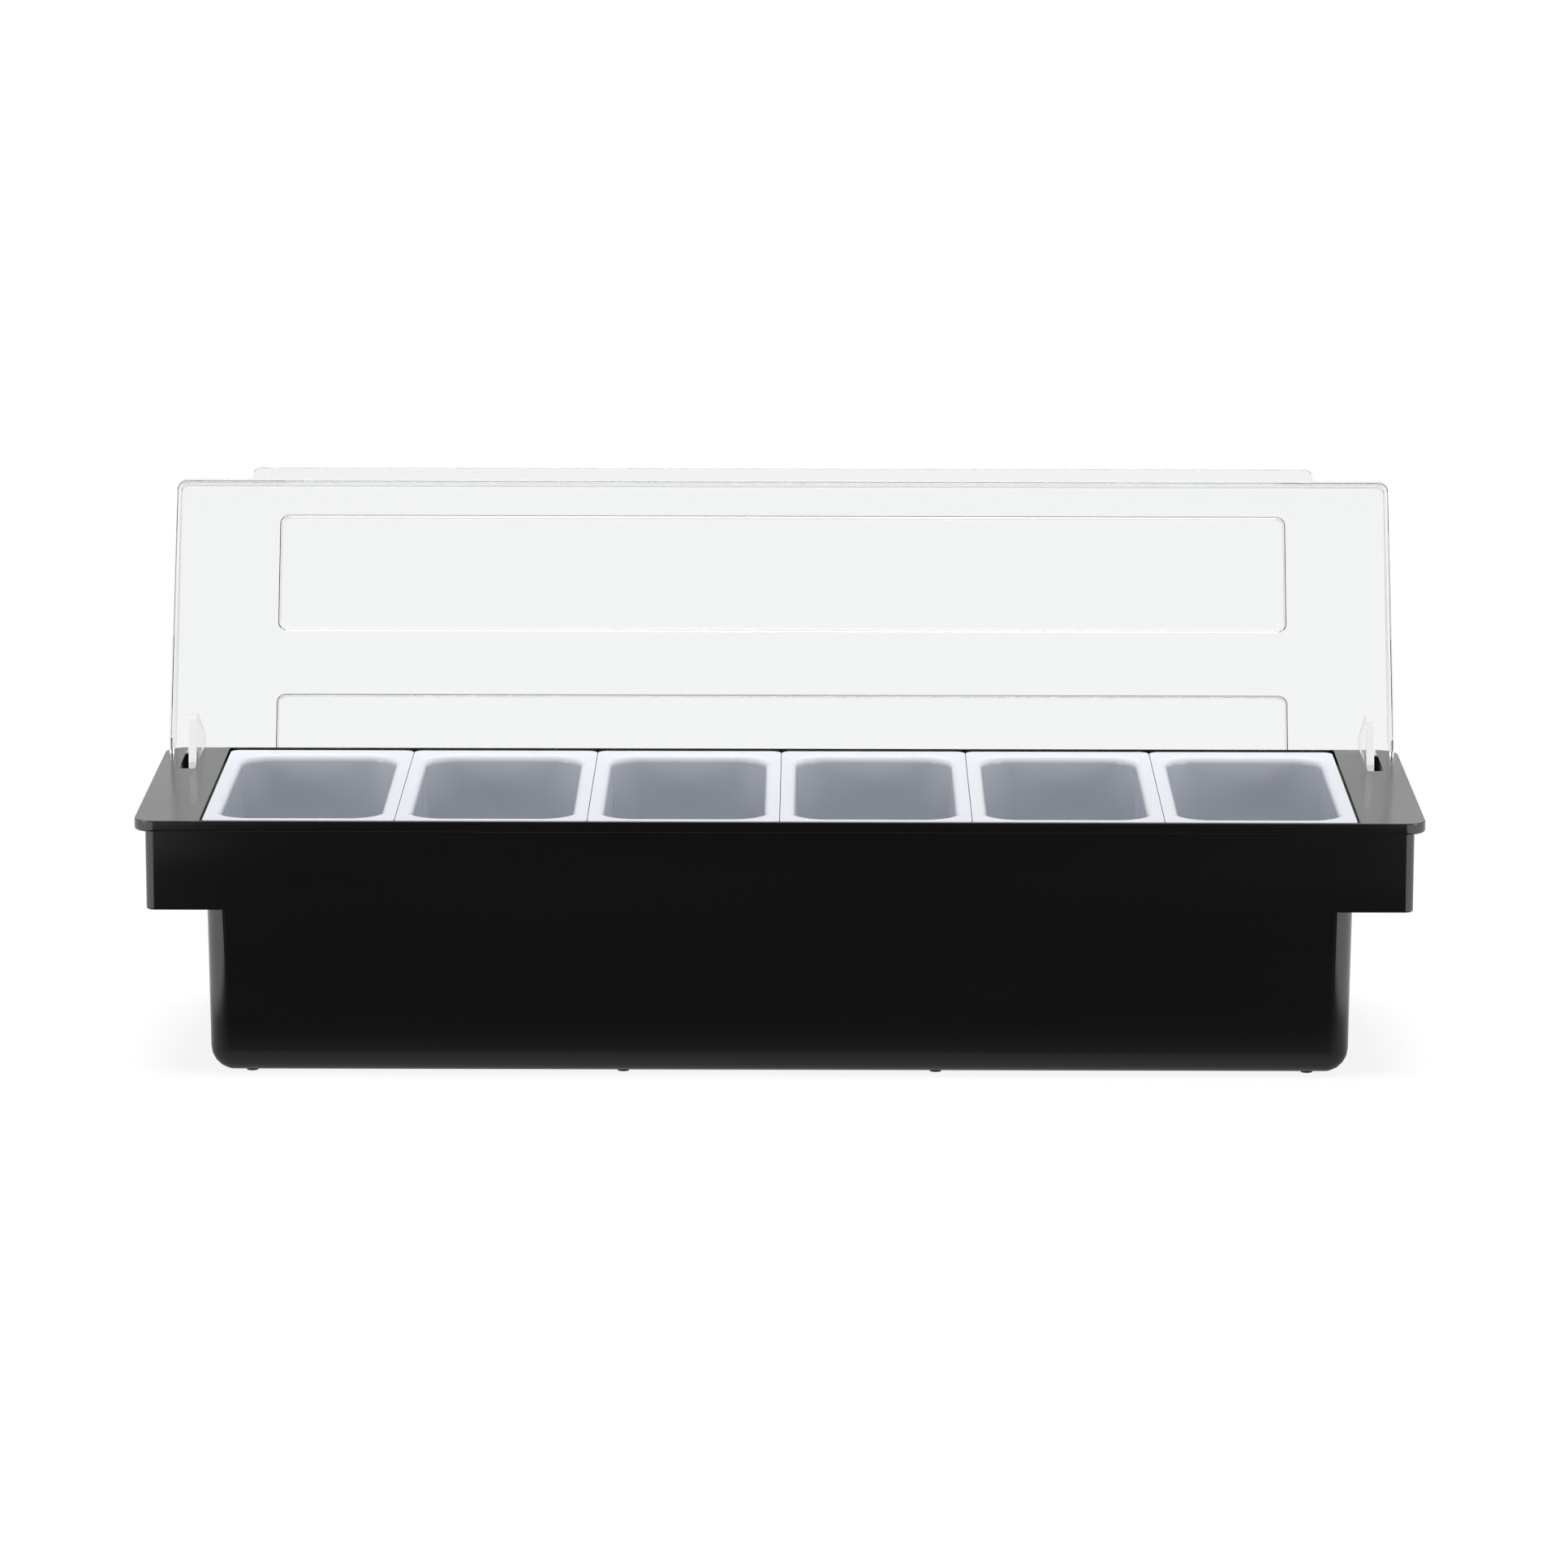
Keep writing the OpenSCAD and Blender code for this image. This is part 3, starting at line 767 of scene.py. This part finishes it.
class CADDY_OT_inserts(bpy.types.Operator):
    """Makes the six white inserts, one on each body"""

    bl_idname = "caddy.make_inserts"
    bl_label = "Make the inserts"

    def execute(self, context):
        """Lofts one insert, and sets a copy of it at each place in the row."""
        group = row_group()
        rings = insert_rings(context.scene.caddy_insert)
        material = moulded_white_polypropylene(context.scene.caddy_colours.insert)
        for number, node in enumerate(INSERTS):
            insert = loft(node, rings)
            polish(insert)
            values = {"Number": number, "Count": len(INSERTS), "Pitch": PITCH, "Material": material}
            run_group(insert, group, values)
            finish_piece(insert, f"{node}_moulding", node, material, [node])
        return {"FINISHED"}


# ---- the clear lid, made closed and then swung open ----


class LidShape:
    """The closed lid's main planes, worked out from its sizes and the frame."""

    def __init__(self, sizes):
        self.sizes = sizes
        self.low = TOP + sizes.gap
        self.front = FRONT + sizes.inset_y
        self.back = BACK - sizes.inset_y
        self.rect = (LID_LOW.x, self.front, LID_HIGH.x, self.back)
        rise = sizes.back_height - sizes.front_height
        self.outer_slope = rise / (self.back - self.front)
        self.inner_slope = rise / (self.back - self.front - 2 * sizes.wall)
        self.angle = math.atan(self.inner_slope)

    def roof(self, drop):
        """The height of the roof's outer face, less a drop, at a point."""
        start = TOP + self.sizes.front_height + self.sizes.wall
        return lambda x, y: start + (y - self.front) * self.outer_slope - drop

    def ceiling(self, drop):
        """The height of the roof's inner face, less a drop, at a point."""
        start = TOP + self.sizes.front_height
        return lambda x, y: start + (y - self.front - self.sizes.wall) * self.inner_slope - drop

    def on_roof(self):
        """The frame of the roof's inner face: Y runs back from the front wall."""
        origin = Vector((0, self.front + self.sizes.wall, TOP + self.sizes.front_height))
        return Matrix.Translation(origin) @ Matrix.Rotation(self.angle, 4, "X")


def lid_shell(shape):
    """The lid's roof and skirt as one wall of even thickness, with rounded edges."""
    sizes, rect = shape.sizes, shape.rect
    outer, inner = four(sizes.corner), less(four(sizes.corner), sizes.wall / 2)
    edge, rim, hollow = sizes.edge, sizes.rim_edge, sizes.hollow_edge
    rings = []
    for cos, sin in quarter():
        inset = edge * (1 - sin)
        rings.append(ring(rect, less(outer, inset / 2), shape.roof(edge * (1 - cos)), inset))
    for cos, sin in quarter():
        inset = rim * (1 - cos)
        rings.append(ring(rect, less(outer, inset), shape.low + rim * (1 - sin), inset))
    for cos, sin in quarter():
        inset = sizes.wall - rim * (1 - sin)
        rings.append(ring(rect, inner, shape.low + rim * (1 - cos), inset))
    for cos, sin in quarter():
        inset = sizes.wall + hollow * (1 - cos)
        rings.append(ring(rect, less(inner, hollow * (1 - cos)), shape.ceiling(hollow * (1 - sin)), inset))
    return loft("shell", rings)


def lid_relief(shape, base):
    """Cutters that let the end walls and the back skirt swing past the flange's back edge."""
    sizes = shape.sizes
    to_edge = Vector((BACK - PIVOT.y, TOP - PIVOT.z))
    radius = to_edge.length + sizes.relief_clearance
    beyond = 2 * OVERSHOOT
    arch = disc("arch", radius, shape.rect[0] - beyond, shape.rect[2] + beyond, PIVOT)
    # The back skirt ends where it meets the tub's back wall with the lid open.
    rest = math.pi - OPEN_ANGLE
    reach = to_edge.x - base.back_overhang + sizes.stop_gap
    skirt = PIVOT.z + (reach + (shape.back - PIVOT.y) * math.cos(rest)) / math.sin(rest)
    low = (shape.rect[0] - beyond, PIVOT.y, TOP - sizes.wall)
    return [arch, bar("skirt", low, (shape.rect[2] + beyond, BACK + beyond, skirt))]


def lid_panels(shape, raised):
    """The two raised panels, or the pockets under them."""
    sizes = shape.sizes
    half = HALF_LENGTH - sizes.panel_inset
    if raised:
        shrink, edge = 0, sizes.panel_rise
        low, high = sizes.wall / 2, sizes.wall + sizes.panel_rise
    else:
        shrink, edge = sizes.wall / 2, sizes.panel_rise - POINT_RADIUS
        low, high = -OVERSHOOT, sizes.panel_rise
    radii = less(four(sizes.panel_corner), shrink / 2)
    panels = []
    for y in (sizes.panel_border, sizes.panel_border + sizes.panel_depth + sizes.panel_space):
        rect = grown((-half, y, half, y + sizes.panel_depth), -shrink)
        panels.append(slab("panel", rect, radii, low, high, edge_high=edge, place=shape.on_roof()))
    return panels


def lid_tab(shape):
    """The finger tab along the front."""
    sizes = shape.sizes
    half = HALF_LENGTH - sizes.tab_inset
    rect = (-half, shape.front - sizes.tab_depth, half, shape.front + sizes.wall / 2)
    radii, edge = four(sizes.tab_corner, 0), sizes.tab_edge
    return slab("tab", rect, radii, shape.low, shape.low + sizes.wall, edge_low=edge, edge_high=edge)


def lid_arms(shape, hinge):
    """The two arms and their pegs."""
    rise = shape.ceiling(0)(0, PIVOT.y) - PIVOT.z
    top = rise * math.cos(shape.angle)
    front = -hinge.arm_front
    rect = (front, top - hinge.arm_length, front + hinge.arm_width, top + shape.sizes.wall / 2)
    radii = (hinge.arm_front_corner, hinge.arm_back_corner, 0, 0)
    # The outline lies in X and Y, and is turned so that X runs back, Y up and Z along the row.
    upright = Matrix(((0, 0, 1, 0), (1, 0, 0, 0), (0, 1, 0, 0), (0, 0, 0, 1)))
    place = Matrix.Translation(PIVOT) @ Matrix.Rotation(shape.angle, 4, "X") @ upright
    inner, edge = HALF_LENGTH - hinge.slot_inset + hinge.arm_gap, hinge.arm_edge
    arms = both_sides(inner, inner + hinge.arm_thickness)
    pegs = both_sides(inner + OVERSHOOT, inner - hinge.peg_length)
    parts = []
    for (x0, x1), (p0, p1) in zip(arms, pegs, strict=True):
        parts.append(slab("arm", rect, radii, x0, x1, edge_low=edge, edge_high=edge, place=place))
        parts.append(disc("peg", hinge.peg_radius, p0, p1, PIVOT))
    return parts


class CADDY_OT_lid(bpy.types.Operator):
    """Makes the clear lid with its panels, tab, arms and pegs"""

    bl_idname = "caddy.make_lid"
    bl_label = "Make the lid"

    def execute(self, context):
        """Builds the lid closed, then swings it to the frame's open pose."""
        base, hinge = context.scene.caddy_base, context.scene.caddy_hinge
        shape = LidShape(context.scene.caddy_lid)
        lid = lid_shell(shape)
        combine(lid, lid_relief(shape, base), "DIFFERENCE")
        combine(lid, [*lid_panels(shape, True), lid_tab(shape), *lid_arms(shape, hinge)], "UNION")
        combine(lid, lid_panels(shape, False), "DIFFERENCE")
        swing = Matrix.Rotation(-OPEN_ANGLE, 4, "X")
        lid.data.transform(Matrix.Translation(PIVOT) @ swing @ Matrix.Translation(-PIVOT))
        polish(lid)
        material = polished_clear_san(context.scene.caddy_colours.lid)
        finish_piece(lid, "lid_moulding", "lid", material, ["lid"])
        return {"FINISHED"}


# ---- the studio ----

# A direction's Z at the ceiling's edge, and where the ceiling has its full tone.
CEILING_EDGE = (0.45, 0.8)
# A direction's Y where the dark wall behind the camera has its full tone, and where it ends.
DARK_WALL_EDGE = (-0.5, -0.2)
SENSOR_WIDTH = 36
LID_BOUNCES = 24
GLOSSY_BOUNCES = 16


def looks(tree):
    """Two masks: for rays that see the plain white background, from the camera or through the lid, and for
    rays off a glossy surface."""
    ray = add_node(tree, "ShaderNodeLightPath").outputs
    seen = calc(tree, "ADD", ray["Is Camera Ray"], ray["Is Transmission Ray"])
    return seen, calc(tree, "MULTIPLY", ray["Is Glossy Ray"], ray["Is Reflection Ray"])


def fade(tree, value, start, end, low, high):
    """A smooth change from low, where value is start, to high, where it is end."""
    values = {"Value": value, "From Min": start, "From Max": end, "To Min": low, "To Max": high}
    return add_node(tree, "ShaderNodeMapRange", values, interpolation_type="SMOOTHSTEP").outputs["Result"]


def white_floor(settings):
    """Matt paper: it takes the shadow, and sends light of its own to the camera so that it reads as the
    photograph's plain white. A black card lies on it, under the caddy and in front, that only gloss sees."""
    material, tree = new_material("Matt_white_paper")
    seen, gloss = looks(tree)
    place = add_node(tree, "ShaderNodeNewGeometry").outputs["Position"]
    parts = add_node(tree, "ShaderNodeSeparateXYZ", {"Vector": place}).outputs
    side = calc(tree, "ABSOLUTE", parts["X"])
    card_end, card_back = HALF_LENGTH + settings.card_side, FRONT + settings.card_reach
    beside = fade(tree, side, card_end, card_end + settings.card_side, 0.0, 1.0)
    behind = fade(tree, parts["Y"], card_back - settings.card_soft, card_back, 0.0, 1.0)
    clear = calc(tree, "MAXIMUM", beside, behind)
    # Off the card, gloss sees the paper as the camera does. On it, gloss sees nearly nothing.
    not_gloss = calc(tree, "SUBTRACT", 1.0, gloss)
    share = calc(tree, "MAXIMUM", not_gloss, clear)
    albedo = calc(tree, "MULTIPLY", share, settings.floor_albedo)
    grey = add_node(tree, "ShaderNodeCombineColor", {0: albedo, 1: albedo, 2: albedo}).outputs["Color"]
    paper = add_node(tree, "ShaderNodeBsdfDiffuse", {"Color": grey, "Roughness": 0.5}).outputs["BSDF"]
    values = {"Value": clear, "To Min": settings.card_bright, "To Max": settings.floor_lift}
    bright = add_node(tree, "ShaderNodeMapRange", values).outputs["Result"]
    to_camera = calc(tree, "MULTIPLY", seen, settings.floor_lift)
    lift = calc(tree, "ADD", to_camera, calc(tree, "MULTIPLY", gloss, bright))
    glow = add_node(tree, "ShaderNodeEmission", {"Strength": lift}).outputs["Emission"]
    both = add_node(tree, "ShaderNodeAddShader", {0: paper, 1: glow}).outputs["Shader"]
    add_node(tree, "ShaderNodeOutputMaterial", {"Surface": both})
    return material


def light_room(settings):
    """A white room. The camera sees plain white all round. What shows through the lid is white up to the
    ceiling, which is greyer and draws the lid's edges. Gloss sees a dark wall behind the camera, and what
    isn't glossy takes a low, even light from all round."""
    world = bpy.data.worlds.new("Studio")
    bpy.context.scene.world = world
    world.use_nodes = True
    tree = world.node_tree
    tree.nodes.clear()
    way = add_node(tree, "ShaderNodeTexCoord").outputs["Generated"]
    parts = add_node(tree, "ShaderNodeSeparateXYZ", {"Vector": way}).outputs
    ray = add_node(tree, "ShaderNodeLightPath").outputs
    ceiling = fade(tree, parts["Z"], *CEILING_EDGE, 1.0, settings.ceiling)
    wall = fade(tree, parts["Y"], *DARK_WALL_EDGE, settings.dark_wall, 1.0)
    strength = ray["Is Camera Ray"]
    for share in (
        calc(tree, "MULTIPLY", looks(tree)[1], wall),
        calc(tree, "MULTIPLY", ray["Is Transmission Ray"], ceiling),
        calc(tree, "MULTIPLY", ray["Is Diffuse Ray"], settings.room_bright),
    ):
        strength = calc(tree, "ADD", strength, share)
    light = add_node(tree, "ShaderNodeBackground", {"Strength": strength}).outputs["Background"]
    add_node(tree, "ShaderNodeOutputWorld", {"Surface": light})


class CADDY_OT_stage(bpy.types.Operator):
    """Makes the floor, the light and the camera"""

    bl_idname = "caddy.make_stage"
    bl_label = "Make the studio"

    def execute(self, context):
        """Sets up the studio and the photograph's camera."""
        scene, settings = context.scene, context.scene.caddy_stage
        scene.view_settings.view_transform = "Standard"
        # Light runs a long way inside the lid's walls before it comes out at their edges.
        scene.cycles.max_bounces = scene.cycles.transmission_bounces = LID_BOUNCES
        scene.cycles.glossy_bounces = GLOSSY_BOUNCES
        light_room(settings)

        half = settings.floor_size / 2
        mesh = bpy.data.meshes.new("floor")
        corners = [(-half, -half, 0), (half, -half, 0), (half, half, 0), (-half, half, 0)]
        mesh.from_pydata(corners, [], [(0, 1, 2, 3)])
        mesh.materials.append(white_floor(settings))
        floor = add_object("floor", mesh)
        floor.location.z = BASE_LOW.z - POINT_RADIUS

        for side in (-1, 1):
            lamp = bpy.data.lights.new("softbox", "AREA")
            lamp.shape, lamp.size, lamp.size_y = "RECTANGLE", settings.box_size, settings.box_size
            lamp.energy = settings.box_power
            softbox = add_object("softbox", lamp)
            softbox.location = (side * settings.box_x, -settings.box_y, settings.box_z)
            to_caddy = Vector((0, 0, TOP)) - softbox.location
            softbox.rotation_euler = to_caddy.to_track_quat("-Z", "Y").to_euler()

        lamp = bpy.data.lights.new("top_light", "SUN")
        lamp.energy, lamp.angle = settings.top_power, settings.top_angle
        # Its highlight would leave a hard white line along every rolled edge.
        add_object("top_light", lamp).visible_glossy = False

        lens = bpy.data.cameras.new("camera")
        lens.lens, lens.sensor_width = settings.lens, SENSOR_WIDTH
        lens.clip_start, lens.clip_end = 0.1, 60
        camera = add_object("camera", lens)
        camera.matrix_world = (
            Matrix.Translation((settings.camera_x, settings.camera_y, settings.camera_z))
            @ Matrix.Rotation(settings.yaw, 4, "Z")
            @ Matrix.Rotation(math.pi / 2 - settings.pitch, 4, "X")
            @ Matrix.Rotation(settings.roll, 4, "Z")
        )
        scene.camera = camera
        return {"FINISHED"}


# ---- panel and registration ----

GROUPS = {
    "caddy_base": CaddyBaseSizes,
    "caddy_hinge": CaddyHingeSizes,
    "caddy_insert": CaddyInsertSizes,
    "caddy_lid": CaddyLidSizes,
    "caddy_colours": CaddyColours,
    "caddy_stage": CaddyStageSettings,
}
STEPS = (CADDY_OT_base, CADDY_OT_feet, CADDY_OT_inserts, CADDY_OT_lid, CADDY_OT_stage)


class CADDY_PT_panel(bpy.types.Panel):
    """Lists the caddy's sizes and the steps that make it"""

    bl_idname = "CADDY_PT_panel"
    bl_label = "Condiment caddy"
    bl_space_type = "VIEW_3D"
    bl_region_type = "UI"
    bl_category = "Caddy"

    def draw(self, context):
        """Shows each group of sizes, and a button for each step."""
        for step in STEPS:
            self.layout.operator(step.bl_idname)
        for name, group in GROUPS.items():
            box = self.layout.box()
            for size in group.__annotations__:
                box.prop(getattr(context.scene, name), size)


CLASSES = (*GROUPS.values(), *STEPS, CADDY_PT_panel)


def register():
    """Registers the add-on's classes and puts its sizes on the scene."""
    for cls in CLASSES:
        bpy.utils.register_class(cls)
    for name, group in GROUPS.items():
        setattr(bpy.types.Scene, name, PointerProperty(type=group))


def unregister():
    """Takes the sizes and the classes away again."""
    for name in GROUPS:
        delattr(bpy.types.Scene, name)
    for cls in reversed(CLASSES):
        bpy.utils.unregister_class(cls)


def main():
    """Makes the caddy and its studio."""
    register()
    bpy.ops.caddy.make_base()
    bpy.ops.caddy.make_feet()
    bpy.ops.caddy.make_inserts()
    bpy.ops.caddy.make_lid()
    bpy.ops.caddy.make_stage()


if __name__ == "__main__":
    main()
